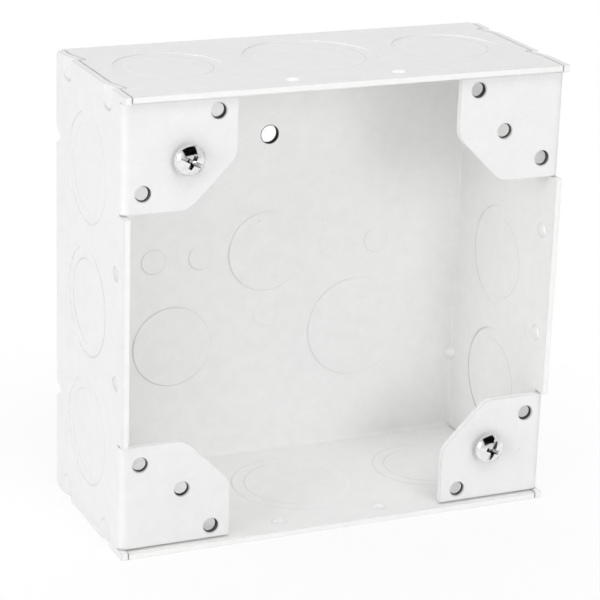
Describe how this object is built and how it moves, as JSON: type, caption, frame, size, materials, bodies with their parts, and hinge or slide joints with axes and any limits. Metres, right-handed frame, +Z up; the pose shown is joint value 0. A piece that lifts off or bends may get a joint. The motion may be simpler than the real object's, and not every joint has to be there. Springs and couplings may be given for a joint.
{
  "type": "square electrical box",
  "caption": "Open square steel electrical box folded from sheet, with knockouts in its walls and back, tapped corner ears and cover screws.",
  "frame": {"origin": "on the ground under the middle of the box and its screw heads, at the outer face of the bottom wall", "axes": "+X to the right, +Y from the open front to the back, +Z up, as the box stands on its bottom wall"},
  "size_m": [0.119, 0.0564, 0.1191],
  "materials": {
    "box_steel": "satin pale zinc coat",
    "screw_zinc": "bright zinc plate"
  },
  "bodies": {
    "root": {"box_body": "box_steel", "cover_screws": "screw_zinc"}
  },
  "joints": []
}
